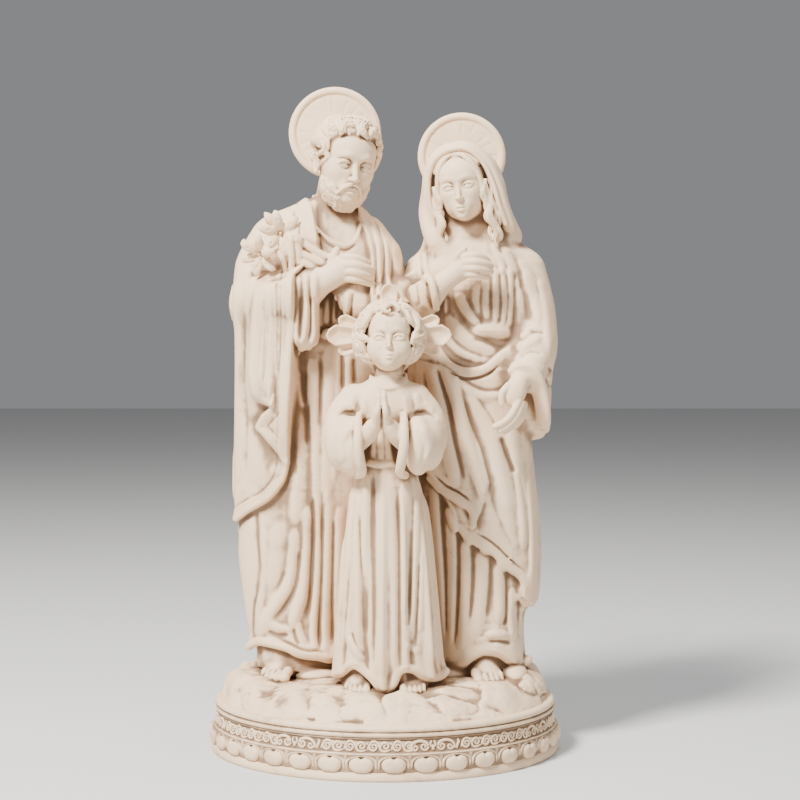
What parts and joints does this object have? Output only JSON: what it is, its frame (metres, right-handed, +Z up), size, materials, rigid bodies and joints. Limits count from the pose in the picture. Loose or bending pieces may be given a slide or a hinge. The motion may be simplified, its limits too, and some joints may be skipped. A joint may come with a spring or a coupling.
{
  "type": "holy family statue",
  "caption": "Cast stone statue of a bearded man with a lily, a veiled woman and a praying child, standing on a rock over a round plinth with a ring of petals; stands by its own weight",
  "frame": {"origin": "centre of the round underside of the plinth", "axes": "+Z up, -Y the front that the figures face, +X to the viewer's right"},
  "size_m": [0.3213, 0.3216, 0.61],
  "materials": {
    "cast_stone": "matt cream with a pinkish brown wash left in the hollows"
  },
  "bodies": {
    "root": {"holy_family_statue": "cast_stone"}
  },
  "joints": []
}
